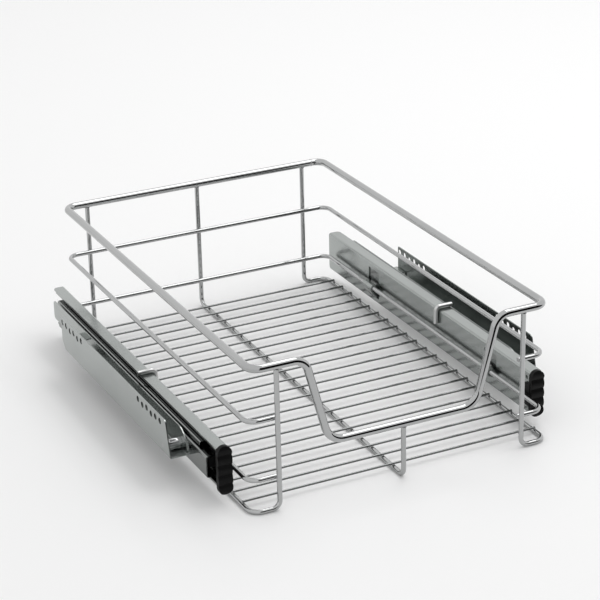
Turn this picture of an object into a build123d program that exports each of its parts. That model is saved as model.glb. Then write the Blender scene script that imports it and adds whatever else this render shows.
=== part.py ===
from build123d import *
import os

# Pull-out wire basket on two telescopic ball-bearing runners, each with a screw-on side bracket.
# X runs from left to right, Y from the front to the back and Z up.
# The origin lies under the middle of the basket, level with the underside of its base wires.
# All sizes are in millimetres.

# ---------------------------------------------------------------- basket
overall_width = 414.0         # clear width between the cabinet's sides
basket_depth = 488.0          # top rail, centre line to centre line
rail_height = 150.7           # centre line of the top rail above the base
top_wire = 8.0                # diameter of the top rail
frame_wire = 5.0              # diameter of uprights, base wires and side rails
cross_wire = 2.5              # diameter of the wires of the base grid
top_corner = 12.0             # bend radius at the corners of the top rail

scoop_shoulder = 55.0         # from the side of the top rail to the front scoop
scoop_lean = 24.0             # each leg of the scoop leans inward by this much
scoop_bar_height = 59.5       # centre line of the scoop's bar
scoop_upper_bend = 16.0
scoop_lower_bend = 20.0

upright_inset = 25.7          # outer uprights, from the side of the top rail
mid_rail_height = 95.0
lower_rail_height = 33.5
side_rail_out = 2.5           # side rails stand this far outside the top rail's centre line
side_rail_corner = 12.0
base_out = 3.5                # outer base wires, outside the top rail's centre line
upright_bend = 8.0            # from an upright into the base
base_corner = 12.0            # from the foot into the long base wire

cross_wire_count = 21
cross_wire_inset = 21.0       # first and last cross wire, from the top rail's centre line
cross_wire_overhang = 0.5     # past the centre line of the outer base wires

# ---------------------------------------------------------------- runner
sheet = 1.2                   # steel of covers, slide members and brackets
runner_gap = 3.0              # between the lower rail and the cover
cover_bottom = 12.7
cover_height = 46.0
cover_top_flange = 13.5
cover_bottom_flange = 9.0
cover_fold = 2.0              # middle radius of the cover's folds
runner_inset = 39.0           # from the front of the top rail to the front of the cover
cover_length = 448.0
cover_back_corner = 6.0       # rounded lower back corner of the cover's web
flange_back_corner = 5.0      # rounded outer back corner of the cover's top flange

drawer_fit = 0.5              # between the cover's flanges and the drawer member
drawer_start = 5.0            # front ends of the slide members, behind the front of the cover
middle_start = 33.0
cabinet_start = 9.5
drawer_length = 440.0
middle_length = 394.0
cabinet_length = 406.5
member_fold = 1.8             # middle radius of the folds of the slide members
member_gap = 2.5              # between the lips of the middle member and the cabinet member's web
cabinet_flange_past_ball = 1.4

ball = 3.2
ball_clearance = 0.3          # between a ball and each of its two races
ball_seat = 0.6               # from the middle member's web to the first row of balls
row_step = 5.0                # from the first row of balls to the second, across the runner
lip_room = 1.3                # between a ball and the lip that holds it in
lip_past_ball = 0.6           # a lip ends this far inside the ball's centre
cage = 0.6                    # sheet of the ball cages
cage_gap = 0.4                # between a cage and a member
cage_length = 178.0
cage_start = 138.0            # behind the front of the cover, with the basket pushed in
cage_fold = 0.8
cage_hole_clearance = 0.15
balls_per_row = 3
ball_pitch = 70.0

# ---------------------------------------------------------------- clips, hook, cap, buffer
window_width = 24.0           # lanced windows in the web of the cover
window_top = 52.0
rear_window_place = 335.0     # middle of the window, behind the front of the cover
rear_window_bottom = 19.0
front_window_place = 77.0
front_window_bottom = 26.0
tab_side_gap = 2.0            # between a tab and each side of its window
tab_root = 2.0                # flat start of a tab below its window
tab_bend = 2.6
tab_reach = 3.0               # over the top of the lower rail, past its centre

latch_hole = 4.0              # round hole in the web behind the end cap
latch_hole_inset = 5.5        # from the front end of the cover
latch_hole_height = 52.0

hook_place = 187.0            # behind the front of the cover
hook_leg = 19.0               # of the hook wire, down the web from its centre line
hook_past_flange = 3.5
hook_bend = 5.0

cap_height = 51.5
cap_width = 15.0
cap_inner_overhang = 1.0      # the cap stands this far inside the web
cap_depth = 4.2               # at the valleys between its lobes
cap_lobes = 5
cap_lobe_height = 1.6
ear_thickness = 1.6           # ear of the cap on the inner face of the web
ear_length = 8.0
ear_bottom = 22.0
ear_top = 47.0
ear_corner = 3.0
plug_clearance = 0.3          # around the plug, inside the drawer member
plug_corner = 1.3
plug_length = 9.0
plug_wall = 1.8

buffer_height = 18.0
buffer_length = 9.5
buffer_width = 9.0
buffer_corner = 2.0
buffer_stud = 5.0             # stud of the rubber buffer in the drawer member's web
buffer_clearance = 0.3        # between the buffer and the middle member at rest

# ---------------------------------------------------------------- bracket
bracket_trough = 18.8         # between the middles of its two plates
bracket_start = 50.0          # behind the front of the cover, at its lower edge
bracket_length = 298.0
bracket_slant = 9.5           # of the front edge, from bottom to top
bracket_bottom = 30.5
bracket_top = 68.5
inner_plate_top = 54.0
inner_plate_round = 20.0      # front top corner of the inner plate
inner_plate_inset = 3.0
tail_length = 78.0            # the inner plate runs on behind the outer one by this much
tail_corner = 4.0             # its rounded back corners
bracket_fold = 1.8
bracket_corner = 4.0
back_cut_y = 10.0             # slanted lower back corner
back_cut_z = 10.0

screw_hole = 6.4
hole_pitch = 11.2
hole_inset = 4.0              # rearmost hole, from the back of the bracket
hole_groups = 215.2           # from the first hole of the rear group to that of the front group
upper_row = 62.5
lower_row = 60.8
rear_rows = (upper_row, upper_row, lower_row, upper_row, lower_row, upper_row)
front_rows = (upper_row, lower_row, upper_row, lower_row, upper_row, upper_row)

brace_length = 19.0           # cross plate between the two plates of the bracket
brace_top = 44.0
brace_flange = 8.0
brace_fold = 1.6

post = 10.0                   # round post between the two plates
post_place = 19.0             # behind the front of the bracket
tenon = 6.0
tenon_clearance = 0.05

rivet = 3.2
rivet_head = 5.5
rivet_head_height = 1.2
rivet_places = (35.0, 155.0, 250.0)    # behind the front of the bracket

# ---------------------------------------------------------------- places along the slide
rail_y = basket_depth / 2 - frame_wire
cover_front = runner_inset - basket_depth / 2
cover_back = cover_front + cover_length
drawer_front = cover_front + drawer_start
middle_front = cover_front + middle_start
cabinet_front = cover_front + cabinet_start
cage_front = cover_front + cage_start
cage_back = cage_front + cage_length
hook_y = cover_front + hook_place
buffer_back = middle_front - buffer_clearance
buffer_front = buffer_back - buffer_length
bracket_front = cover_front + bracket_start
bracket_back = bracket_front + bracket_length
post_y = bracket_front + post_place
rivet_ys = [bracket_front + place for place in rivet_places]

# ---------------------------------------------------------------- heights
base_z = frame_wire / 2
upright_top = rail_height - top_wire / 2
cover_top = cover_bottom + cover_height
slide_z = cover_bottom + cover_height / 2
drawer_half = cover_height / 2 - sheet - drawer_fit
row_1 = drawer_half - sheet - ball_clearance - ball / 2
middle_half = row_1 - ball / 2 - ball_clearance
row_2 = middle_half - sheet - ball_clearance - ball / 2
cabinet_half = row_2 - ball / 2 - ball_clearance

post_z = bracket_bottom + sheet / 2 + bracket_fold + post / 2

# ---------------------------------------------------------------- places across, from the outside in
plate_out = overall_width / 2 - sheet / 2
plate_in = plate_out - bracket_trough
cabinet_web = plate_in - sheet
middle_lip = cabinet_web - sheet - member_gap
row_2_x = middle_lip - sheet / 2 - lip_room - ball / 2
cabinet_tip = row_2_x - ball / 2 - cabinet_flange_past_ball
row_1_x = row_2_x - row_step
drawer_lip = row_1_x + ball / 2 + lip_room + sheet / 2
middle_web_face = row_1_x - ball / 2 - ball_seat
cage_2_web = middle_web_face + cage_gap + cage / 2
middle_web = middle_web_face - sheet / 2
cage_1_web = middle_web - sheet / 2 - cage_gap - cage / 2
drawer_web_face = cage_1_web - cage / 2 - cage_gap
drawer_web = drawer_web_face - sheet / 2
web_x = drawer_web - 1.5 * sheet
side_rail_x = web_x - runner_gap - frame_wire / 2
basket_half = side_rail_x - side_rail_out
base_x = basket_half + base_out
upright_x = basket_half - upright_inset
scoop_top_x = basket_half - scoop_shoulder
scoop_bottom_x = scoop_top_x - scoop_lean


def wire(points, diameter, bends, closed=False):
    """Round wire along straight runs that are joined by tangent bends."""
    line = FilletPolyline(*points, radius=bends, close=closed)
    section = Plane(origin=line @ 0, z_dir=line % 0) * Circle(diameter / 2)
    return sweep(section, path=line)


def rod(start, end, diameter):
    """Straight round bar from one point to another."""
    reach = Vector(*end) - Vector(*start)
    return extrude(Plane(origin=start, z_dir=reach) * Circle(diameter / 2), reach.length)


def folded_sheet(points, thickness, bend, front, back):
    """Sheet folded along the (x, z) points of its middle surface, from front to back in y."""
    line = FilletPolyline(*points, radius=bend)
    section = Plane.XZ * trace(line, thickness)
    return Pos(0, back, 0) * extrude(section, back - front)


def corner_waste(low, high, start, end, radius):
    """Waste of a rounded corner: a block less a bar of the corner's radius."""
    return block(low, high) - rod(start, end, 2 * radius)


def side_prism(edges, inner, outer):
    """Solid with the (y, z) outline that the edges close, from x = inner to x = outer."""
    return extrude(Plane.YZ.offset(inner) * make_face(edges), outer - inner)


def block(low, high):
    """Plain block between two opposite corners."""
    size = Vector(*high) - Vector(*low)
    return Pos(*low) * Box(size.X, size.Y, size.Z, align=(Align.MIN, Align.MIN, Align.MIN))


def channel(web, half, tip, front, back, thickness=sheet, bend=member_fold):
    """Plain channel about the height of the slide, with its two flanges pointing at x = tip."""
    z = half - thickness / 2
    points = [(tip, slide_z + z), (web, slide_z + z), (web, slide_z - z), (tip, slide_z - z)]
    return folded_sheet(points, thickness, bend, front, back)


def lipped_channel(web, half, lip, row, front, back):
    """Channel whose flanges end in lips that hold a row of balls."""
    z = half - sheet / 2
    end = row - lip_past_ball
    upper = [(lip, slide_z + end), (lip, slide_z + z), (web, slide_z + z)]
    lower = [(web, slide_z - z), (lip, slide_z - z), (lip, slide_z - end)]
    return folded_sheet(upper + lower, sheet, member_fold, front, back)


# ---------------------------------------------------------------- basket
def top_rail():
    """Closed rail of the thickest wire, dipping into a scoop at the front."""
    x = basket_half
    y = basket_depth / 2
    points = [
        (x, y, rail_height),
        (x, -y, rail_height),
        (scoop_top_x, -y, rail_height),
        (scoop_bottom_x, -y, scoop_bar_height),
        (-scoop_bottom_x, -y, scoop_bar_height),
        (-scoop_top_x, -y, rail_height),
        (-x, -y, rail_height),
        (-x, y, rail_height),
    ]
    corner = top_corner
    bends = [corner, corner, scoop_upper_bend, scoop_lower_bend]
    return wire(points, top_wire, bends + bends[::-1], closed=True)


def side_rail(height):
    """Rail round the back and sides, whose front returns end at the outer uprights."""
    x = side_rail_x
    y = rail_y
    end = upright_x - frame_wire / 2
    points = [(end, -y), (x, -y), (x, y), (-x, y), (-x, -y), (-end, -y)]
    return wire([(px, py, height) for px, py in points], frame_wire, side_rail_corner)


def outer_frame_wire():
    """Rear upright, foot, long base wire, foot and front upright in one wire, on the right."""
    y = basket_depth / 2
    points = [
        (upright_x, y, upright_top),
        (upright_x, y, base_z),
        (base_x, y, base_z),
        (base_x, -y, base_z),
        (upright_x, -y, base_z),
        (upright_x, -y, upright_top),
    ]
    return wire(points, frame_wire, [upright_bend, base_corner, base_corner, upright_bend])


def centre_frame_wire():
    """Middle upright, base wire and the short front upright under the scoop's bar."""
    y = basket_depth / 2
    front_top = scoop_bar_height - top_wire / 2
    points = [(0, y, upright_top), (0, y, base_z), (0, -y, base_z), (0, -y, front_top)]
    return wire(points, frame_wire, upright_bend)


def cross_wires():
    """Thin wires of the base grid, lying across the three base wires."""
    half = base_x + cross_wire_overhang
    z = frame_wire + cross_wire / 2
    reach = basket_depth / 2 - cross_wire_inset
    pitch = 2 * reach / (cross_wire_count - 1)
    places = [i * pitch - reach for i in range(cross_wire_count)]
    return Compound(children=[rod((-half, y, z), (half, y, z), cross_wire) for y in places])


# ---------------------------------------------------------------- right-hand runner
def clip_window(middle, bottom):
    """Opening that a lanced tab leaves in the web."""
    half = window_width / 2
    return block((web_x - sheet, middle - half, bottom), (web_x + 2 * sheet, middle + half, window_top))


def clip_tab(middle, bottom):
    """Tab bent inward from the lower edge of its window, under, inside and over the lower rail."""
    half = window_width / 2 - tab_side_gap
    hug = frame_wire / 2 + sheet / 2
    web = web_x + sheet / 2
    inside = side_rail_x - hug
    points = [
        (web, bottom - tab_root),
        (web, bottom),
        (inside, lower_rail_height - hug),
        (inside, lower_rail_height + hug),
        (side_rail_x + tab_reach, lower_rail_height + hug),
    ]
    bends = [sheet, tab_bend, tab_bend]
    return folded_sheet(points, sheet, bends, middle - half, middle + half)


def runner_cover():
    """Channel that hangs on the lower rail by two pairs of lanced tabs and covers the slide."""
    web = web_x + sheet / 2
    top = cover_top - sheet / 2
    bottom = cover_bottom + sheet / 2
    points = [
        (web_x + cover_top_flange, top),
        (web, top),
        (web, bottom),
        (web_x + cover_bottom_flange, bottom),
    ]
    body = folded_sheet(points, sheet, cover_fold, cover_front, cover_back)
    windows = ((rear_window_place, rear_window_bottom), (front_window_place, front_window_bottom))
    for place, low in windows:
        body -= clip_window(cover_front + place, low)
        body += clip_tab(cover_front + place, low)
    hole_y = cover_front + latch_hole_inset
    start = (web_x - sheet, hole_y, latch_hole_height)
    end = (web_x + 2 * sheet, hole_y, latch_hole_height)
    body -= rod(start, end, latch_hole)

    y = cover_back - cover_back_corner
    z = cover_bottom + cover_back_corner
    low = (web_x - sheet, y, cover_bottom - sheet)
    high = (web_x + cover_bottom_flange + sheet, cover_back + sheet, z)
    body -= corner_waste(low, high, (low[0] - sheet, y, z), (high[0] + sheet, y, z), cover_back_corner)
    x = web_x + cover_top_flange - flange_back_corner
    y = cover_back - flange_back_corner
    low = (x, y, cover_top - 2 * sheet)
    high = (web_x + cover_top_flange + sheet, cover_back + sheet, cover_top + sheet)
    return body - corner_waste(low, high, (x, y, low[2] - sheet), (x, y, high[2] + sheet), flange_back_corner)


def hanger_hook():
    """Bent wire welded to the web, whose free end lies across the cover's top flange."""
    x = web_x - frame_wire / 2
    z = cover_top + frame_wire / 2
    end = web_x + cover_top_flange + hook_past_flange
    points = [(x, hook_y, z - hook_leg), (x, hook_y, z), (end, hook_y, z)]
    return wire(points, frame_wire, hook_bend)


def end_cap():
    """Moulded cap with a rippled front, an ear on the web and a hollow plug in the slide."""
    low = slide_z - cap_height / 2
    valley = cover_front - cap_depth
    peak = valley - cap_lobe_height
    lobe = cap_height / cap_lobes
    edges = []
    for i in range(cap_lobes):
        foot = low + i * lobe
        edges.append(ThreePointArc((valley, foot), (peak, foot + lobe / 2), (valley, foot + lobe)))
    high = low + cap_height
    edges += Polyline((valley, high), (cover_front, high), (cover_front, low), (valley, low)).edges()
    inner = web_x - cap_inner_overhang
    ripples = side_prism(edges, inner - 1, inner + cap_width + 1)
    outline = Pos(inner + cap_width / 2, slide_z) * SlotOverall(cap_height, cap_width, rotation=90)
    plate = Pos(0, cover_front, 0) * extrude(Plane.XZ * outline, 2 * (cap_depth + cap_lobe_height))
    body = plate & ripples

    back = cover_front + ear_length
    root = cover_front - cap_depth / 2
    corners = [(root, ear_bottom), (back, ear_bottom), (back, ear_top), (root, ear_top)]
    ear = side_prism(Polyline(*corners, close=True).edges(), web_x - ear_thickness, web_x)
    body += fillet(ear.edges().filter_by(Axis.X).group_by(Axis.Y)[-1], ear_corner)

    half = drawer_half - sheet - plug_clearance
    plug_in = drawer_web_face + plug_clearance
    plug_out = drawer_lip - sheet / 2 - plug_clearance
    plug = block((plug_in, root, slide_z - half), (plug_out, cover_front + plug_length, slide_z + half))
    plug = fillet(plug.edges().filter_by(Axis.Y), plug_corner)
    hollow = block(
        (plug_in + plug_wall, cover_front + plug_wall, slide_z - half + plug_wall),
        (plug_out - plug_wall, cover_front + 2 * plug_length, slide_z + half - plug_wall),
    )
    return body + plug - hollow


def stop_buffer():
    """Rubber block in front of the middle member, held by a stud in the drawer member's web."""
    half = buffer_height / 2
    body = block(
        (drawer_web_face, buffer_front, slide_z - half),
        (drawer_web_face + buffer_width, buffer_back, slide_z + half),
    )
    body = fillet(body.edges().filter_by(Axis.X), buffer_corner)
    y = (buffer_front + buffer_back) / 2
    return body + rod((drawer_web_face - sheet, y, slide_z), (drawer_web_face + 1, y, slide_z), buffer_stud)


def drawer_member():
    """Outer slide member, fixed in the cover."""
    back = drawer_front + drawer_length
    body = lipped_channel(drawer_web, drawer_half, drawer_lip, row_1, drawer_front, back)
    y = (buffer_front + buffer_back) / 2
    return body - rod((web_x, y, slide_z), (drawer_web_face + 1, y, slide_z), buffer_stud)


def middle_member():
    """Slide member that runs between the drawer member and the cabinet member."""
    back = middle_front + middle_length
    return lipped_channel(middle_web, middle_half, middle_lip, row_2, middle_front, back)


def cabinet_member():
    """Innermost slide member, riveted to the bracket."""
    body = channel(cabinet_web, cabinet_half, cabinet_tip, cabinet_front, cabinet_front + cabinet_length)
    for y in rivet_ys:
        body -= rod((cabinet_web - sheet, y, slide_z), (cabinet_web + sheet, y, slide_z), rivet)
    return body


def ball_places():
    """Distances of the balls along the slide at rest."""
    middle = (cage_front + cage_back) / 2
    first = middle - ball_pitch * (balls_per_row - 1) / 2
    return [first + i * ball_pitch for i in range(balls_per_row)]


def ball_cage(web, row, row_x, lip):
    """Thin channel with a round hole for each ball."""
    tip = lip - sheet / 2 - cage_gap
    half = row + cage / 2
    body = channel(web, half, tip, cage_front, cage_back, cage, cage_fold)
    hole = ball + 2 * cage_hole_clearance
    for y in ball_places():
        body -= rod((row_x, y, slide_z - row - ball), (row_x, y, slide_z + row + ball), hole)
    return body


def ball_rows(row, row_x):
    """Two rows of steel balls, above and below the middle of the slide."""
    places = [(row_x, y, slide_z + side * row) for side in (-1, 1) for y in ball_places()]
    return Compound(children=[Pos(*place) * Sphere(ball / 2) for place in places])


# ---------------------------------------------------------------- right-hand bracket
def hole_places():
    """(y, z) of each screw hole, from the back of the bracket to its front."""
    rear = bracket_back - hole_inset
    front = rear - hole_groups
    groups = ((rear, rear_rows), (front, front_rows))
    return [(start - i * hole_pitch, z) for start, rows in groups for i, z in enumerate(rows)]


def bracket():
    """Folded trough: a tall outer plate with the screw holes, a floor and a low inner plate."""
    floor = bracket_bottom + sheet / 2
    inner = plate_in
    points = [(plate_out, bracket_top), (plate_out, floor), (inner, floor), (inner, inner_plate_top)]
    body = folded_sheet(points, sheet, bracket_fold, bracket_front, bracket_back)
    corners = [
        (bracket_back, bracket_top),
        (bracket_front + bracket_slant, bracket_top),
        (bracket_front, bracket_bottom),
        (bracket_back - back_cut_y, bracket_bottom),
        (bracket_back, bracket_bottom + back_cut_z),
    ]
    bends = [sheet, bracket_corner, sheet, bracket_corner, bracket_corner]
    outline = FilletPolyline(*corners, radius=bends, close=True).edges()
    body = body & side_prism(outline, inner - 2 * sheet, plate_out + 2 * sheet)

    centre_y = bracket_front + inner_plate_inset + inner_plate_round
    centre_z = inner_plate_top - inner_plate_round
    low = (inner - sheet, bracket_front - sheet, centre_z)
    high = (inner + sheet, centre_y, inner_plate_top + sheet)
    start = (inner - 2 * sheet, centre_y, centre_z)
    end = (inner + 2 * sheet, centre_y, centre_z)
    body -= corner_waste(low, high, start, end, inner_plate_round)

    tail = block(
        (inner - sheet / 2, bracket_back - 2 * back_cut_y, floor + bracket_fold),
        (inner + sheet / 2, bracket_back + tail_length, inner_plate_top),
    )
    body += fillet(tail.edges().filter_by(Axis.X).group_by(Axis.Y)[-1], tail_corner)
    for y, z in hole_places():
        body -= rod((plate_out - sheet, y, z), (plate_out + sheet, y, z), screw_hole)
    start = (inner - sheet, post_y, post_z)
    body -= rod(start, (plate_out + sheet, post_y, post_z), tenon + 2 * tenon_clearance)
    for y in rivet_ys:
        body -= rod((inner - sheet, y, slide_z), (inner + sheet, y, slide_z), rivet)
    return body


def spacer_post():
    """Turned post between the plates, with a tenon in each of them."""
    half = sheet / 2
    body = rod((plate_in + half, post_y, post_z), (plate_out - half, post_y, post_z), post)
    return body + rod((plate_in - half, post_y, post_z), (plate_out + half, post_y, post_z), tenon)


def cross_plate():
    """Bent plate that braces the rear of the bracket."""
    inner = plate_in + sheet
    outer = plate_out - sheet
    top = brace_top - sheet / 2
    low = brace_top - brace_flange
    points = [(inner, low), (inner, top), (outer, top), (outer, low)]
    return folded_sheet(points, sheet, brace_fold, bracket_back - brace_length, bracket_back)


def bracket_rivets():
    """Rivets with a low head on each side, through the cabinet member and the inner plate."""
    rivets = []
    for y in rivet_ys:
        inner = cabinet_web - sheet / 2
        outer = plate_in + sheet / 2
        shank = rod((inner, y, slide_z), (outer, y, slide_z), rivet)
        head = rod((inner - rivet_head_height, y, slide_z), (inner, y, slide_z), rivet_head)
        tail = rod((outer, y, slide_z), (outer + rivet_head_height, y, slide_z), rivet_head)
        rivets.append(shank + head + tail)
    return Compound(children=rivets)


# ---------------------------------------------------------------- assembly
right_hand = {
    "frame_wire": outer_frame_wire(),
    "hanger_hook": hanger_hook(),
    "runner_cover": runner_cover(),
    "drawer_member": drawer_member(),
    "end_cap": end_cap(),
    "stop_buffer": stop_buffer(),
    "middle_member": middle_member(),
    "cabinet_member": cabinet_member(),
    "inner_ball_cage": ball_cage(cage_1_web, row_1, row_1_x, drawer_lip),
    "inner_balls": ball_rows(row_1, row_1_x),
    "outer_ball_cage": ball_cage(cage_2_web, row_2, row_2_x, middle_lip),
    "outer_balls": ball_rows(row_2, row_2_x),
    "bracket": bracket(),
    "cross_plate": cross_plate(),
    "spacer_post": spacer_post(),
    "bracket_rivets": bracket_rivets(),
}
nodes = {
    "top_rail": top_rail(),
    "mid_rail": side_rail(mid_rail_height),
    "lower_rail": side_rail(lower_rail_height),
    "centre_frame_wire": centre_frame_wire(),
    "cross_wires": cross_wires(),
}
for name, shape in right_hand.items():
    nodes[f"right_{name}"] = shape
    nodes[f"left_{name}"] = mirror(shape, about=Plane.YZ)

os.makedirs("parts", exist_ok=True)
for name, shape in nodes.items():
    export_step(shape, f"parts/{name}.step")
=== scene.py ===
"""Looks of a pull-out wire basket on two telescopic runners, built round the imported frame."""
import logging
import math
from dataclasses import dataclass, field
from enum import Enum
from typing import ClassVar

import bmesh
import bpy
import numpy as np
from mathutils import Matrix, Vector


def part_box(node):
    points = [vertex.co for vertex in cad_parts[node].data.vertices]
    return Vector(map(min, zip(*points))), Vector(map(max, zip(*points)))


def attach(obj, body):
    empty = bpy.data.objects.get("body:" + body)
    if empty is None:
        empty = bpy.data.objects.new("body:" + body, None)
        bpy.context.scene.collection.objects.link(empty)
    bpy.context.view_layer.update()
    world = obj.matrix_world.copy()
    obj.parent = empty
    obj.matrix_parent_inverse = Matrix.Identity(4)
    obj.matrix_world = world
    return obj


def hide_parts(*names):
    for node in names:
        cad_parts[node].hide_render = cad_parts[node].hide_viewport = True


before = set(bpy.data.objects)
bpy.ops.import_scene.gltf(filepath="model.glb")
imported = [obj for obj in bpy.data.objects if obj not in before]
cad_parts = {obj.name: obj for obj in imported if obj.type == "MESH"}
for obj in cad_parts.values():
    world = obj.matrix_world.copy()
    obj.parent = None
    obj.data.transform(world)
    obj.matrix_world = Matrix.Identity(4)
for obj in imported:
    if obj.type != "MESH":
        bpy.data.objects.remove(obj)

log = logging.getLogger("basket")
logging.basicConfig(level=logging.INFO, format="%(message)s")

MM = 0.001
BODY = "basket"

# A direction that no wire of the basket runs along, from which each wire's rings are laid out.
LEANING = np.array([0.50, 0.62, 0.60])
# How far before and after a bend the straight runs get a point of their own.
LEAD = 0.4 * MM
# Rings at a wire's end, in lengths of its rounding: how far in they lie, and what they lose in radius.
NOSE_DEPTH = np.array([0.0, 0.3, 1.0, 1.8])
NOSE_LOSS = np.array([1.0, 0.3, 0.0, 0.0])

Points = np.ndarray
Blocks = list[np.ndarray]
Arrays = tuple[Points, Blocks]
Spot = tuple[float, float, float]
Colour = tuple[float, float, float]
Term = bpy.types.NodeSocket | float | tuple


class Side(Enum):
    """The two hands of the runner, with the sign of their x."""

    LEFT = -1
    RIGHT = 1

    @property
    def word(self) -> str:
        """Name of the side as the nodes spell it."""
        return self.name.lower()


# ---------------------------------------------------------------- shader helpers
class Nodes:
    """A node tree with short calls for adding and linking nodes."""

    def __init__(self, tree: bpy.types.NodeTree) -> None:
        """Keeps the tree that nodes are added to."""
        self.tree = tree

    def feed(self, socket: bpy.types.NodeSocket, term: Term) -> None:
        """Links an input socket, or sets it where it gets a plain value.

        Args:
            socket: the input socket.
            term: the output socket or the value that feeds it.
        """
        if isinstance(term, bpy.types.NodeSocket):
            self.tree.links.new(term, socket)
        else:
            socket.default_value = term

    def add(self, kind: str, terms: dict[str | int, Term], **settings: object) -> bpy.types.Node:
        """Adds a node.

        Args:
            kind: Blender's type name of the node.
            terms: what feeds its inputs, by the name or number of the input.
            settings: properties of the node and their values.

        Returns:
            The new node.
        """
        node = self.tree.nodes.new(kind)
        for name, value in settings.items():
            setattr(node, name, value)
        for key, term in terms.items():
            self.feed(node.inputs[key], term)
        return node

    def maths(self, operation: str, *terms: Term, clamp: bool = False) -> bpy.types.NodeSocket:
        """Adds a Math node.

        Args:
            operation: what it works out.
            terms: what feeds its inputs, in order.
            clamp: whether the result is kept between 0 and 1.

        Returns:
            Its output socket.
        """
        node = self.add("ShaderNodeMath", dict(enumerate(terms)), operation=operation, use_clamp=clamp)
        return node.outputs[0]


def new_group(
    name: str, numbers: dict[str, float], results: tuple[str, ...]
) -> tuple[Nodes, bpy.types.NodeOutputs, bpy.types.NodeInputs]:
    """Starts a shader node group that takes a place, called Vector, and some numbers.

    Args:
        name: name of the group.
        numbers: name and default value of each further input.
        results: names of its outputs, which are numbers too.

    Returns:
        The group's tree, the sockets that bring its inputs in, and the sockets that take its
        outputs.
    """
    tree = bpy.data.node_groups.new(name, "ShaderNodeTree")
    tree.interface.new_socket(name="Vector", in_out="INPUT", socket_type="NodeSocketVector")
    for socket, value in numbers.items():
        made = tree.interface.new_socket(name=socket, in_out="INPUT", socket_type="NodeSocketFloat")
        made.default_value = value
    for socket in results:
        tree.interface.new_socket(name=socket, in_out="OUTPUT", socket_type="NodeSocketFloat")
    nodes = Nodes(tree)
    return nodes, nodes.add("NodeGroupInput", {}).outputs, nodes.add("NodeGroupOutput", {}).inputs


def plating_group() -> bpy.types.NodeTree:
    """Cloudy and fine-grained plating.

    The haze is a slow noise and the grain a fast one that is drawn out along the slide. Both are
    about a half on average, so the roughness is the base value plus the spread times what their
    sum is over one, and the height is the grain alone.

    Returns:
        The node group.
    """
    nodes, given, result = new_group(
        "plating",
        {"Haze Scale": 22.0, "Grain Scale": 900.0, "Grain Stretch": 1.0, "Roughness": 0.1, "Spread": 0.05},
        ("Roughness", "Height"),
    )
    haze = nodes.add(
        "ShaderNodeTexNoise", {"Vector": given["Vector"], "Scale": given["Haze Scale"], "Detail": 4.0}
    )
    squeeze = nodes.add("ShaderNodeCombineXYZ", {"X": 1.0, "Y": given["Grain Stretch"], "Z": 1.0})
    drawn = nodes.add(
        "ShaderNodeVectorMath", {0: given["Vector"], 1: squeeze.outputs[0]}, operation="MULTIPLY"
    )
    grain = nodes.add(
        "ShaderNodeTexNoise", {"Vector": drawn.outputs[0], "Scale": given["Grain Scale"], "Detail": 2.0}
    )
    both = nodes.maths("ADD", haze.outputs["Fac"], grain.outputs["Fac"])
    over = nodes.maths("SUBTRACT", both, 1.0)
    rough = nodes.maths("MULTIPLY_ADD", over, given["Spread"], given["Roughness"], clamp=True)
    nodes.feed(result["Roughness"], rough)
    nodes.feed(result["Height"], grain.outputs["Fac"])
    return nodes.tree


def handling_group() -> bpy.types.NodeTree:
    """Faint wipe marks and specks.

    The mark is a slow noise cut off high, so that only scattered patches stay, plus sparse specks
    at the middles of small cells.

    Returns:
        The node group.
    """
    nodes, given, result = new_group("handling", {"Patch Scale": 14.0, "Speck Scale": 260.0}, ("Mark",))
    patch = nodes.add(
        "ShaderNodeTexNoise", {"Vector": given["Vector"], "Scale": given["Patch Scale"], "Detail": 6.0}
    )
    cut = nodes.add(
        "ShaderNodeMapRange",
        {"Value": patch.outputs["Fac"], "From Min": 0.52, "From Max": 0.72},
        interpolation_type="SMOOTHSTEP",
    )
    cells = nodes.add("ShaderNodeTexVoronoi", {"Vector": given["Vector"], "Scale": given["Speck Scale"]})
    speck = nodes.add(
        "ShaderNodeMapRange",
        {"Value": cells.outputs["Distance"], "From Min": 0.10, "From Max": 0.04},
        interpolation_type="SMOOTHSTEP",
    )
    mark = nodes.maths("ADD", cut.outputs["Result"], speck.outputs["Result"], clamp=True)
    nodes.feed(result["Mark"], mark)
    return nodes.tree


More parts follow.
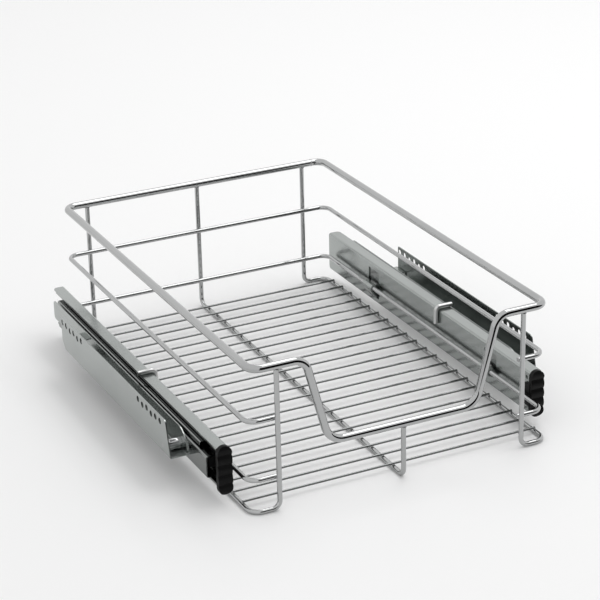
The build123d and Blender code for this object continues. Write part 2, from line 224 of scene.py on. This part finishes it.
# ---------------------------------------------------------------- finishes
@dataclass(frozen=True)
class Finish:
    """One surface finish: its colours, its gloss and how far the two of them wander.

    Grain stretch is under 1 where the grain is drawn out along the slide.
    """

    slot: str
    colour: Colour
    worn_colour: Colour
    roughness: float
    spread: float
    metallic: float = 1.0
    haze_scale: float = 22.0
    grain_scale: float = 900.0
    grain_stretch: float = 1.0
    bump: float = 0.02
    bump_distance: float = 0.1 * MM
    patch_scale: float = 14.0
    speck_scale: float = 260.0
    mark_strength: float = 0.35
    specular: float = 0.5

    def build(
        self, name: str, plating: bpy.types.NodeTree, handling: bpy.types.NodeTree
    ) -> bpy.types.Material:
        """Makes the material.

        The marks of handling tint the colour towards the worn one and add the spread times their
        strength to the roughness of the plating, whose grain also gives a faint bump.

        Args:
            name: name of the material.
            plating: node group of the plating.
            handling: node group of the marks.

        Returns:
            The material.
        """
        material = bpy.data.materials.new(name)
        material.use_nodes = True
        nodes = Nodes(material.node_tree)
        place = nodes.add("ShaderNodeTexCoord", {}).outputs["Object"]
        surface = nodes.add("ShaderNodeGroup", {
            "Vector": place, "Haze Scale": self.haze_scale, "Grain Scale": self.grain_scale,
            "Grain Stretch": self.grain_stretch, "Roughness": self.roughness, "Spread": self.spread,
        }, node_tree=plating).outputs
        marks = nodes.add("ShaderNodeGroup", {
            "Vector": place, "Patch Scale": self.patch_scale, "Speck Scale": self.speck_scale,
        }, node_tree=handling).outputs
        mark = nodes.maths("MULTIPLY", marks["Mark"], self.mark_strength)
        tint = nodes.add("ShaderNodeMix", {
            "A": (*self.colour, 1.0), "B": (*self.worn_colour, 1.0), "Factor": mark,
        }, data_type="RGBA")
        bump = nodes.add("ShaderNodeBump", {
            "Strength": self.bump, "Distance": self.bump_distance, "Height": surface["Height"],
        })
        shader = material.node_tree.nodes["Principled BSDF"].inputs
        nodes.feed(shader["Base Color"], tint.outputs["Result"])
        nodes.feed(shader["Metallic"], self.metallic)
        rough = nodes.maths("MULTIPLY_ADD", mark, self.spread, surface["Roughness"], clamp=True)
        nodes.feed(shader["Roughness"], rough)
        nodes.feed(shader["Specular IOR Level"], self.specular)
        nodes.feed(shader["Normal"], bump.outputs["Normal"])
        return material


class Look(Enum):
    """The finishes of this basket; each material has its member's name in small letters."""

    BRIGHT_CHROME = Finish(
        "chrome_wire", (0.43, 0.435, 0.435), (0.34, 0.345, 0.345),
        roughness=0.05, spread=0.03, haze_scale=30.0, bump=0.01,
    )
    SATIN_CHROME = Finish(
        "chrome_wire", (0.60, 0.605, 0.60), (0.50, 0.505, 0.50),
        roughness=0.30, spread=0.06, haze_scale=30.0, bump=0.02,
    )
    # Chrome darkened to paint shade and dark reflections onto the thin cross wires; the shape and plating
    # are the same as the bright chrome.
    DEEP_CHROME = Finish(
        "chrome_wire", (0.20, 0.205, 0.205), (0.15, 0.155, 0.155),
        roughness=0.10, spread=0.04, haze_scale=30.0, bump=0.01,
    )
    BRIGHT_ZINC = Finish(
        "plated_steel", (0.37, 0.39, 0.38), (0.32, 0.34, 0.33),
        roughness=0.22, spread=0.06, haze_scale=16.0, grain_stretch=0.05, bump=0.03,
    )
    # Near-black colour paints the shade on the walls of the bracket's screw holes; the high roughness
    # stands for the duller cut steel.
    CUT_EDGE = Finish(
        "plated_steel", (0.05, 0.052, 0.05), (0.04, 0.04, 0.04),
        roughness=0.5, spread=0.12, grain_scale=1500.0, bump=0.1,
    )
    ROLLED_STEEL = Finish(
        "slide_steel", (0.24, 0.25, 0.245), (0.16, 0.165, 0.162),
        roughness=0.16, spread=0.10, haze_scale=18.0, grain_stretch=0.04, bump=0.06, mark_strength=0.5,
    )
    THIN_CAGE_STEEL = Finish(
        "cage_steel", (0.30, 0.31, 0.30), (0.20, 0.20, 0.19),
        roughness=0.28, spread=0.12, grain_stretch=0.1, bump=0.05,
    )
    BALL_STEEL = Finish(
        "ball_steel", (0.58, 0.58, 0.59), (0.45, 0.45, 0.45),
        roughness=0.04, spread=0.02, bump=0.0,
    )
    BLACK_MOULDING = Finish(
        "black_plastic", (0.003, 0.003, 0.003), (0.008, 0.008, 0.008),
        metallic=0.0, roughness=0.42, spread=0.10, haze_scale=60.0, grain_scale=1800.0,
        bump=0.12, speck_scale=420.0, specular=0.12,
    )
    SOFT_RUBBER = Finish(
        "rubber", (0.016, 0.016, 0.017), (0.045, 0.045, 0.045),
        metallic=0.0, roughness=0.72, spread=0.12, grain_scale=1400.0, bump=0.3, specular=0.2,
    )


class Finishes:
    """The materials of all finishes, each made once and then given to pieces and nodes."""

    def __init__(self) -> None:
        """Builds the node groups and the materials."""
        plating, handling = plating_group(), handling_group()
        self.materials = {look: look.value.build(look.name.lower(), plating, handling) for look in Look}

    def dress(self, piece: bpy.types.Object, look: Look) -> None:
        """Gives a piece or a node its finish and the material slot of that finish.

        Args:
            piece: what is dressed.
            look: its finish.
        """
        piece.data.materials.clear()
        piece.data.materials.append(self.materials[look])


# ---------------------------------------------------------------- meshes from arrays
def mesh_piece(name: str, points: Points, blocks: Blocks) -> bpy.types.Object:
    """Makes an object at the origin from arrays of points and faces.

    Args:
        name: name of the piece.
        points: corners of the mesh, in metres.
        blocks: corner numbers of its faces, in blocks of faces that have equally many corners.

    Returns:
        The object, smooth shaded and in the scene.
    """
    mesh = bpy.data.meshes.new(name)
    mesh.from_pydata(points.tolist(), [], sum((block.tolist() for block in blocks), []))
    mesh.polygons.foreach_set("use_smooth", np.ones(len(mesh.polygons), bool))
    mesh.update()
    piece = bpy.data.objects.new(name, mesh)
    bpy.context.scene.collection.objects.link(piece)
    return piece


def unit(vectors: Points) -> Points:
    """Scales each vector to length one."""
    return vectors / np.linalg.norm(vectors, axis=-1, keepdims=True)


def bent_route(
    corners: list[Spot], bends: list[float], closed: bool, steps: int = 10
) -> tuple[Points, Points]:
    """Straight runs joined by tangent arcs.

    Each arc lies in the plane of its two runs. Its centre is on their bisector, at the bend radius
    divided by the cosine of half the turn, and it starts where a run has the bend radius times the
    tangent of half the turn left to its corner. A point just before and just after each arc keeps
    the shading of the straight runs free of the bends.

    Args:
        corners: the corners of the route, in metres.
        bends: bend radius at each inner corner, or at every corner of a closed route.
        closed: whether the route runs back to its start.
        steps: pieces in each arc.

    Returns:
        Points of the route, and the direction of travel at each.
    """
    path = np.array(corners, float)
    count = len(path)
    turned = range(count) if closed else range(1, count - 1)
    places, headings = [], []
    if not closed:
        places.append(path[:1])
        headings.append(unit(path[1:2] - path[:1]))
    for bend, i in zip(bends, turned):
        here = path[i]
        back = unit(path[i - 1] - here)
        ahead = unit(path[(i + 1) % count] - here)
        turn = math.pi - math.acos(float(np.clip(back @ ahead, -1.0, 1.0)))
        centre = here + unit(back + ahead) * bend / math.cos(turn / 2)
        first = here + back * bend * math.tan(turn / 2)
        last = here + ahead * bend * math.tan(turn / 2)
        angle = np.linspace(0.0, turn, steps + 1)[:, None]
        out = (first - centre) / bend
        arc = centre + bend * (np.cos(angle) * out - np.sin(angle) * back)
        places += [first[None] + back * LEAD, arc, last[None] + ahead * LEAD]
        headings += [-back[None], -np.sin(angle) * out - np.cos(angle) * back, ahead[None]]
    if not closed:
        places.append(path[-1:])
        headings.append(unit(path[-1:] - path[-2:-1]))
    return np.concatenate(places), np.concatenate(headings)


def tube_arrays(
    places: Points, headings: Points, radius: float, closed: bool, sides: int, nose: float
) -> Arrays:
    """A circle carried along a route.

    Each ring is the route's point plus the radius times the cosine of an angle along one side
    vector and its sine along the other. The first side vector is what a fixed leaning direction
    has square to the route, and the second is square to both. An open tube ends in a short nose:
    its last rings lose part of their radius and the very last one closes on a single point, while
    the full rings behind them keep the shading of the straight run free of the nose.

    Args:
        places: points of the route.
        headings: direction of travel at each point.
        radius: radius of the wire.
        closed: whether the last ring joins the first.
        sides: corners of each ring.
        nose: length of the rounding at an open end.

    Returns:
        Points and faces of the tube.
    """
    shrink = np.ones(len(places))
    if not closed:
        inward = nose * NOSE_DEPTH[:, None]
        start = places[:1] + headings[:1] * inward
        stop = places[-1:] - headings[-1:] * inward[::-1]
        places = np.concatenate([start, places[1:-1], stop])
        leaving, arriving = (np.repeat(end, len(inward), 0) for end in (headings[:1], headings[-1:]))
        headings = np.concatenate([leaving, headings[1:-1], arriving])
        left = 1.0 - NOSE_LOSS * (nose / radius)
        shrink = np.concatenate([left, shrink[1:-1], left[::-1]])
    across = unit(LEANING - (headings @ LEANING)[:, None] * headings)
    upward = np.cross(headings, across)
    angle = np.linspace(0.0, 2 * math.pi, sides, endpoint=False)[None, :, None]
    spokes = np.cos(angle) * across[:, None] + np.sin(angle) * upward[:, None]
    points = (places[:, None] + radius * shrink[:, None, None] * spokes).reshape(-1, 3)
    count = len(places)
    ring = np.arange(count if closed else count - 1)[:, None] * sides
    after = (ring + sides) % (count * sides)
    side = np.arange(sides)[None]
    beside = (side + 1) % sides
    blocks = [np.stack([ring + side, ring + beside, after + beside, after + side], -1).reshape(-1, 4)]
    if not closed:
        first, last = np.full(sides, len(points)), np.full(sides, len(points) + 1)
        points = np.concatenate([points, places[:1], places[-1:]])
        near, far = np.arange(sides), (count - 1) * sides + np.arange(sides)
        blocks.append(np.stack([first, np.roll(near, -1), near], -1))
        blocks.append(np.stack([last, far, np.roll(far, -1)], -1))
    return points, blocks


def joined(parts: list[Arrays]) -> Arrays:
    """Puts several meshes into one.

    Args:
        parts: points and faces of each mesh.

    Returns:
        Points and faces of them all.
    """
    starts = np.cumsum([0] + [len(points) for points, _ in parts])
    blocks = [block + start for start, (_, some) in zip(starts, parts) for block in some]
    return np.concatenate([points for points, _ in parts]), blocks


def nuggets(centres: list[Spot], half: Spot, around: int = 14, up: int = 7) -> Arrays:
    """Flattened balls, one at each centre.

    A ball is the grid of longitude and latitude: the cosine of the latitude times the cosine and
    sine of the longitude, and the sine of the latitude, each times its half axis.

    Args:
        centres: the middle of each ball, in metres.
        half: half axes along x, y and z.
        around: columns of longitude.
        up: rows of latitude between the poles.

    Returns:
        Points and faces of all the balls.
    """
    latitude = np.linspace(-math.pi / 2, math.pi / 2, up + 2)[1:-1, None]
    longitude = np.linspace(0, 2 * math.pi, around, endpoint=False)[None]
    grid = np.stack([
        np.cos(latitude) * np.cos(longitude),
        np.cos(latitude) * np.sin(longitude),
        np.sin(latitude) * np.ones_like(longitude),
    ], -1).reshape(-1, 3)
    ball = np.concatenate([grid, [[0, 0, -1], [0, 0, 1]]]) * np.array(half)
    row = np.arange(up - 1)[:, None] * around
    column = np.arange(around)[None]
    beside = (column + 1) % around
    above = row + around
    quads = np.stack([row + column, row + beside, above + beside, above + column], -1).reshape(-1, 4)
    low, high = up * around, up * around + 1
    bottom = np.stack([np.full(around, low), beside[0], column[0]], -1)
    top_row = (up - 1) * around
    top = np.stack([np.full(around, high), top_row + column[0], top_row + beside[0]], -1)
    step = (np.arange(len(centres)) * len(ball))[:, None, None]
    blocks = [(block[None] + step).reshape(-1, block.shape[1]) for block in (quads, bottom, top)]
    return (np.array(centres)[:, None] + ball[None]).reshape(-1, 3), blocks


def side_span(node: str, side: Side) -> tuple[float, float]:
    """Where a node of one side begins and ends, seen from the middle of the basket.

    Args:
        node: name of the node.
        side: the side that it is on.

    Returns:
        Its nearest and its farthest x, with their sign.
    """
    low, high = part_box(node)
    near, far = sorted((abs(low.x), abs(high.x)))
    return side.value * near, side.value * far


# ---------------------------------------------------------------- basket
@dataclass
class WireBasket:
    """The welded basket: rails, frame wires, cross wires, hooks and their weld nuggets.

    Radii, bends and the scoop repeat the solids that the wires stand for; where they lie comes
    from the boxes of these solids. Welds on crossing wires are given by their half axes, and the
    one that closes the top rail by its half length and by how far it stands proud of the wire.
    """

    finishes: Finishes
    top_radius: float = 4.0 * MM
    frame_radius: float = 2.5 * MM
    cross_radius: float = 1.25 * MM
    top_corner: float = 12.0 * MM
    scoop_shoulder: float = 55.0 * MM
    scoop_lean: float = 24.0 * MM
    scoop_bar: float = 59.5 * MM
    scoop_upper_bend: float = 16.0 * MM
    scoop_lower_bend: float = 20.0 * MM
    rail_corner: float = 12.0 * MM
    upright_bend: float = 8.0 * MM
    base_corner: float = 12.0 * MM
    hook_bend: float = 5.0 * MM
    cross_count: int = 21
    nose: float = 0.35 * MM
    sides: int = 40
    cross_weld: Spot = (1.5 * MM, 1.5 * MM, 0.7 * MM)
    rail_weld: Spot = (2.1 * MM, 0.9 * MM, 1.7 * MM)
    upright_weld: Spot = (3.1 * MM, 3.0 * MM, 1.1 * MM)
    closing_weld_x: float = 145.0 * MM
    closing_weld_half: float = 1.5 * MM
    closing_weld_proud: float = 0.35 * MM
    made: list[bpy.types.Object] = field(default_factory=list)

    def place(self, name: str, arrays: Arrays, look: Look, *nodes: str) -> None:
        """Turns arrays into a dressed piece that rides on the basket.

        Args:
            name: name of the piece.
            arrays: its points and faces.
            look: its finish.
            nodes: the nodes that it stands for.
        """
        piece = mesh_piece(name, *arrays)
        self.finishes.dress(piece, look)
        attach(piece, BODY)
        if nodes:
            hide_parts(*nodes)
        self.made.append(piece)

    def wire(self, corners: list[Spot], bends: list[float], radius: float, closed: bool = False) -> Arrays:
        """Bends one wire.

        Args:
            corners: the corners of its centre line.
            bends: bend radius at each corner that it turns at.
            radius: radius of the wire.
            closed: whether its ends meet.

        Returns:
            Its points and faces.
        """
        places, headings = bent_route(corners, bends, closed)
        return tube_arrays(places, headings, radius, closed, self.sides, self.nose)

    def top_rail(self) -> None:
        """Closed top rail with its front scoop."""
        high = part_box("top_rail")[1]
        r = self.top_radius
        x, y, z = high.x - r, high.y - r, high.z - r
        shoulder = x - self.scoop_shoulder
        foot = shoulder - self.scoop_lean
        right = [(x, y, z), (x, -y, z), (shoulder, -y, z), (foot, -y, self.scoop_bar)]
        left = [(-x, y, z) for x, y, z in reversed(right)]
        bends = [self.top_corner, self.top_corner, self.scoop_upper_bend, self.scoop_lower_bend]
        arrays = self.wire(right + left, bends + bends[::-1], r, closed=True)
        self.place("top_rail_chrome", arrays, Look.BRIGHT_CHROME, "top_rail")

    def side_rails(self) -> None:
        """Middle and lower rail, which end at the outer uprights in front."""
        r = self.frame_radius
        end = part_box("right_frame_wire")[0].x
        for node in ("mid_rail", "lower_rail"):
            low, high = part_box(node)
            x, y, z = high.x - r, high.y - r, (low.z + high.z) / 2
            corners = [(end, -y, z), (x, -y, z), (x, y, z), (-x, y, z), (-x, -y, z), (-end, -y, z)]
            arrays = self.wire(corners, [self.rail_corner] * 4, r)
            self.place(f"{node}_chrome", arrays, Look.BRIGHT_CHROME, node)

    def frame_wires(self) -> None:
        """The two outer frame wires and the centre one."""
        r = self.frame_radius
        for side in Side:
            node = f"{side.word}_frame_wire"
            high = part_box(node)[1]
            near, far = side_span(node, side)
            inner, outer = near + side.value * r, far - side.value * r
            y, top = high.y - r, high.z
            rear = [(inner, y, top), (inner, y, r), (outer, y, r)]
            front = [(x, -y, z) for x, y, z in reversed(rear)]
            bends = [self.upright_bend, self.base_corner, self.base_corner, self.upright_bend]
            self.place(f"{node}_chrome", self.wire(rear + front, bends, r), Look.BRIGHT_CHROME, node)
        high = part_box("centre_frame_wire")[1]
        y = high.y - r
        front_top = self.scoop_bar - self.top_radius
        corners = [(0, y, high.z), (0, y, r), (0, -y, r), (0, -y, front_top)]
        arrays = self.wire(corners, [self.upright_bend] * 2, r)
        self.place("centre_frame_wire_chrome", arrays, Look.BRIGHT_CHROME, "centre_frame_wire")

    def cross_places(self) -> Points:
        """Distances of the cross wires from front to back."""
        low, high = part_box("cross_wires")
        return np.linspace(low.y + self.cross_radius, high.y - self.cross_radius, self.cross_count)

    def cross_wires(self) -> None:
        """The thin wires of the base grid."""
        low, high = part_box("cross_wires")
        z = (low.z + high.z) / 2
        rows = [[(low.x, y, z), (high.x, y, z)] for y in self.cross_places()]
        arrays = joined([self.wire(row, [], self.cross_radius) for row in rows])
        # The cross wires take the darkened chrome, which paints their shade and dark reflections into the
        # colour.
        self.place("cross_wires_chrome", arrays, Look.DEEP_CHROME, "cross_wires")

    def hooks(self) -> None:
        """The bent wires that lie across the top flanges of the covers."""
        r = self.frame_radius
        for side in Side:
            node = f"{side.word}_hanger_hook"
            low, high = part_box(node)
            near, outer = side_span(node, side)
            inner = near + side.value * r
            y, top = (low.y + high.y) / 2, high.z - r
            corners = [(inner, y, low.z), (inner, y, top), (outer, y, top)]
            arrays = self.wire(corners, [self.hook_bend], r)
            self.place(f"{node}_chrome", arrays, Look.SATIN_CHROME, node)

    def weld_nuggets(self) -> None:
        """Small weld nuggets where one wire lies on another, and the bead that closes the top rail.

        The cross wires are welded to the three base wires, the middle and lower rail to the
        uprights, and the tops of the uprights to the top rail.
        """
        r = self.frame_radius
        low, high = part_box("right_frame_wire")
        base, upright, back = high.x - r, low.x + r, high.y - r
        on_base = [(x, y, 2 * r) for x in (-base, 0.0, base) for y in self.cross_places()]

        rail_z = [sum(corner.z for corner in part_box(node)) / 2 for node in ("mid_rail", "lower_rail")]
        seat = back - r
        on_uprights = [(x, seat, z) for x in (-upright, 0.0, upright) for z in rail_z]
        on_uprights += [(x, -seat, z) for x in (-upright, upright) for z in rail_z]

        tops = [(x, y, high.z) for x in (-upright, upright) for y in (-back, back)]
        tops += [(0.0, back, high.z), (0.0, -back, self.scoop_bar - self.top_radius)]

        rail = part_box("top_rail")[1]
        closing = [(self.closing_weld_x, rail.y - self.top_radius, rail.z - self.top_radius)]
        bead = self.top_radius + self.closing_weld_proud
        welds = [
            nuggets(on_base, self.cross_weld),
            nuggets(on_uprights, self.rail_weld),
            nuggets(tops, self.upright_weld, around=24),
            nuggets(closing, (self.closing_weld_half, bead, bead), around=40, up=19),
        ]
        self.place("weld_nuggets", joined(welds), Look.BRIGHT_CHROME)

    def build(self) -> None:
        """Makes every piece of the basket."""
        self.top_rail()
        self.side_rails()
        self.frame_wires()
        self.cross_wires()
        self.hooks()
        self.weld_nuggets()


# ---------------------------------------------------------------- runners and brackets
@dataclass
class Runner:
    """One side's cover, slide, bracket and fittings.

    The tables give each node's finish and the body that it rides on. Sheet, turned and moulded
    pieces keep the shape of their solids and get soft edges; cages and balls stay as they are.
    """

    METAL: ClassVar[dict[str, tuple[Look, str]]] = {
        "runner_cover": (Look.BRIGHT_ZINC, BODY),
        "drawer_member": (Look.ROLLED_STEEL, BODY),
        "middle_member": (Look.ROLLED_STEEL, "middle"),
        "cabinet_member": (Look.ROLLED_STEEL, "cabinet_side"),
        "bracket": (Look.BRIGHT_ZINC, "cabinet_side"),
        "cross_plate": (Look.BRIGHT_ZINC, "cabinet_side"),
        "spacer_post": (Look.BRIGHT_CHROME, "cabinet_side"),
        "bracket_rivets": (Look.ROLLED_STEEL, "cabinet_side"),
    }
    MOULDED: ClassVar[dict[str, tuple[Look, str]]] = {
        "end_cap": (Look.BLACK_MOULDING, BODY),
        "stop_buffer": (Look.SOFT_RUBBER, BODY),
    }
    KEPT: ClassVar[dict[str, Look]] = {
        "inner_ball_cage": Look.THIN_CAGE_STEEL,
        "outer_ball_cage": Look.THIN_CAGE_STEEL,
        "inner_balls": Look.BALL_STEEL,
        "outer_balls": Look.BALL_STEEL,
    }

    finishes: Finishes
    side: Side
    metal_edge: float = 0.22 * MM
    moulded_edge: float = 0.45 * MM
    edge_steps: int = 2
    edge_turn: float = math.radians(38)
    flat_turn: float = math.radians(0.5)
    flat_weight: int = 100
    merge_gap: float = 0.002 * MM
    hole_band: tuple[float, float] = (56.0 * MM, 66.5 * MM)
    hole_reach: float = 141.5 * MM
    wall_lean: float = 0.3
    made: list[bpy.types.Object] = field(default_factory=list)

    def node(self, part: str) -> str:
        """Full name of a node of this side."""
        return f"{self.side.word}_{part}"

    def body(self, short: str) -> str:
        """Full name of a body of this side."""
        return short if short == BODY else f"{self.side.word}_{short}"

    def whole_mesh(self, node: str) -> bpy.types.Mesh:
        """A copy of a node's mesh with its loose triangles merged into whole flat faces.

        Args:
            node: full name of the node.

        Returns:
            The mesh, smooth shaded.
        """
        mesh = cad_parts[node].data.copy()
        mesh.name = f"{node}_finished"
        whole = bmesh.new()
        whole.from_mesh(mesh)
        bmesh.ops.remove_doubles(whole, verts=whole.verts, dist=self.merge_gap)
        bmesh.ops.dissolve_limit(whole, angle_limit=self.flat_turn, verts=whole.verts, edges=whole.edges)
        whole.to_mesh(mesh)
        whole.free()
        mesh.polygons.foreach_set("use_smooth", np.ones(len(mesh.polygons), bool))
        return mesh

    def soft_edged(self, part: str, look: Look, body: str, width: float) -> bpy.types.Object:
        """Makes a node again with its sharp edges rounded over.

        Args:
            part: the node's name without its side.
            look: its finish.
            body: short name of the body that it rides on.
            width: width of the rounding.

        Returns:
            The piece, which stands for the node.
        """
        mesh = self.whole_mesh(self.node(part))
        piece = bpy.data.objects.new(mesh.name, mesh)
        bpy.context.scene.collection.objects.link(piece)
        bevel = piece.modifiers.new("soft_edges", "BEVEL")
        bevel.width = width
        bevel.segments = self.edge_steps
        bevel.limit_method = "ANGLE"
        bevel.angle_limit = self.edge_turn
        bevel.harden_normals = True
        bevel.use_clamp_overlap = True
        flat = piece.modifiers.new("flat_faces", "WEIGHTED_NORMAL")
        flat.mode = "FACE_AREA"
        flat.weight = self.flat_weight
        flat.keep_sharp = False
        self.finishes.dress(piece, look)
        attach(piece, self.body(body))
        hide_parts(self.node(part))
        self.made.append(piece)
        return piece

    def bare_hole_walls(self, bracket: bpy.types.Object) -> None:
        """Gives the walls of the screw holes a near-black colour that paints the shade inside them, with
        the higher roughness of punched steel.

        A wall face of a hole has a normal about square to x, and its middle lies in the band of
        height of the holes and inside the plate's ends.

        Args:
            bracket: the finished bracket.
        """
        mesh = bracket.data
        mesh.materials.append(self.finishes.materials[Look.CUT_EDGE])
        normals, middles = np.empty((2, 3 * len(mesh.polygons)))
        mesh.polygons.foreach_get("normal", normals)
        mesh.polygons.foreach_get("center", middles)
        normals, middles = normals.reshape(-1, 3), middles.reshape(-1, 3)
        low, high = self.hole_band
        wall = (abs(normals[:, 0]) < self.wall_lean) & (middles[:, 2] > low) & (middles[:, 2] < high)
        wall &= abs(middles[:, 1]) < self.hole_reach
        mesh.polygons.foreach_set("material_index", wall.astype(np.int32))

    def build(self) -> None:
        """Dresses every piece of this side."""
        for part, (look, body) in self.METAL.items():
            piece = self.soft_edged(part, look, body, self.metal_edge)
            if part == "bracket":
                # The walls of the bracket's screw holes get painted shade.
                self.bare_hole_walls(piece)
        for part, (look, body) in self.MOULDED.items():
            self.soft_edged(part, look, body, self.moulded_edge)
        for part, look in self.KEPT.items():
            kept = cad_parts[self.node(part)]
            self.finishes.dress(kept, look)
            self.made.append(kept)


# ---------------------------------------------------------------- studio
@dataclass
class Studio:
    """Floor, black card, white surroundings, lamp and camera.

    The camera's turn, rise, roll, distance, shifts and lens come from the straight lines of the
    photograph.
    """

    turn: float = math.radians(-25.65)
    rise: float = math.radians(23.05)
    roll: float = math.radians(-1.41)
    distance: float = 2216.6 * MM
    shift_right: float = 6.9 * MM
    shift_up: float = 87.2 * MM
    base: float = 2.5 * MM
    lens: float = 124.25
    sensor: float = 36.0
    nearest: float = 0.05
    floor_size: float = 60.0
    floor_grey: float = 0.90
    card_near: float = -0.62
    card_far: float = -2.3
    card_height: float = 1.75
    card_lift: float = 2.0 * MM
    card_x: float = 0.75
    card_wide: float = 2.0
    card_grey: float = 0.004
    lamp_spot: Spot = (1.0, 0.35, 2.35)
    lamp_wide: float = 1.0
    lamp_long: float = 2.3
    lamp_watts: float = 18.5
    fill_level: float = 0.84
    seen_level: float = 1.0

    def camera(self) -> None:
        """Camera at the photograph's place.

        Its back axis leans by the rise over a turn about the vertical, and it is then rolled about
        that axis. The location is the distance along the back axis plus two small shifts.
        """
        ce, se = math.cos(self.rise), math.sin(self.rise)
        back = np.array([math.sin(self.turn) * ce, -math.cos(self.turn) * ce, se])
        right = np.array([math.cos(self.turn), math.sin(self.turn), 0.0])
        up = np.cross(back, right)
        cr, sr = math.cos(self.roll), math.sin(self.roll)
        right, up = cr * right + sr * up, cr * up - sr * right
        spot = right * self.shift_right + up * self.shift_up + back * self.distance + (0, 0, self.base)
        data = bpy.data.cameras.new("camera")
        data.lens = self.lens
        data.sensor_width = self.sensor
        data.clip_start = self.nearest
        camera = bpy.data.objects.new("camera", data)
        turned = Matrix([[*row] for row in np.stack([right, up, back], 1)])
        camera.matrix_world = Matrix.Translation(Vector(spot)) @ turned.to_4x4()
        bpy.context.scene.collection.objects.link(camera)
        bpy.context.scene.camera = camera

    def plane(
        self, name: str, size: float, grey: float, roughness: float, specular: float
    ) -> bpy.types.Object:
        """A square plane of one plain grey, which is no part of the basket.

        Args:
            name: name of the plane and of its material.
            size: its side.
            grey: brightness of its material.
            roughness: roughness of its material.
            specular: strength of its plain reflection.

        Returns:
            The plane, flat and at the origin.
        """
        bpy.ops.mesh.primitive_plane_add(size=size)
        plane = bpy.context.object
        plane.name = name
        material = bpy.data.materials.new(name)
        material.use_nodes = True
        shader = material.node_tree.nodes["Principled BSDF"].inputs
        shader["Base Color"].default_value = (grey, grey, grey, 1.0)
        shader["Roughness"].default_value = roughness
        shader["Specular IOR Level"].default_value = specular
        plane.data.materials.append(material)
        return plane

    def dark_card(self) -> None:
        """Black card that leans away in front of the basket, which only reflections see.

        Its lower edge lies near the floor at the near distance and its upper edge is at the far
        distance and the height, so that its centre is halfway between the two.
        """
        card = self.plane("dark_card", 1.0, self.card_grey, roughness=1.0, specular=0.0)
        depth = self.card_near - self.card_far
        card.scale = (self.card_wide, math.hypot(depth, self.card_height), 1.0)
        card.rotation_euler = (-math.atan2(self.card_height, depth), 0.0, 0.0)
        middle = (self.card_near + self.card_far) / 2
        card.location = (self.card_x, middle, self.card_height / 2 + self.card_lift)
        card.visible_camera = False
        card.visible_diffuse = False
        card.visible_shadow = False
        card.visible_transmission = False

    def overhead_lamp(self) -> None:
        """Wide soft lamp that lies flat above the basket."""
        data = bpy.data.lights.new("overhead", "AREA")
        data.shape = "RECTANGLE"
        data.size = self.lamp_wide
        data.size_y = self.lamp_long
        data.energy = self.lamp_watts
        lamp = bpy.data.objects.new("overhead", data)
        lamp.location = self.lamp_spot
        bpy.context.scene.collection.objects.link(lamp)

    def world(self) -> None:
        """White surroundings, full white where they are seen or reflected and less as a light."""
        world = bpy.data.worlds.new("surroundings")
        bpy.context.scene.world = world
        world.use_nodes = True
        nodes = Nodes(world.node_tree)
        path = nodes.add("ShaderNodeLightPath", {}).outputs
        seen = nodes.maths("MAXIMUM", path["Is Camera Ray"], path["Is Glossy Ray"])
        through = nodes.maths("MAXIMUM", seen, path["Is Transmission Ray"])
        levels = {"A": self.fill_level, "B": self.seen_level, "Factor": through}
        level = nodes.add("ShaderNodeMix", levels, data_type="FLOAT")
        back = world.node_tree.nodes["Background"].inputs
        nodes.feed(back["Color"], (1.0, 1.0, 1.0, 1.0))
        nodes.feed(back["Strength"], level.outputs["Result"])

    def build(self) -> None:
        """Sets up the studio."""
        self.camera()
        self.plane("floor", self.floor_size, self.floor_grey, roughness=0.55, specular=0.2)
        self.dark_card()
        self.world()
        self.overhead_lamp()
        bpy.context.scene.view_settings.view_transform = "Standard"


def main() -> None:
    """Builds the looks in order and notes how large they come out."""
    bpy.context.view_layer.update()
    finishes = Finishes()
    basket = WireBasket(finishes)
    basket.build()
    runners = [Runner(finishes, side) for side in Side]
    for runner in runners:
        runner.build()
    Studio().build()
    for part in (basket, *runners):
        for piece in part.made:
            log.info("%s: %d faces", piece.name, len(piece.data.polygons))


if __name__ == "__main__":
    main()
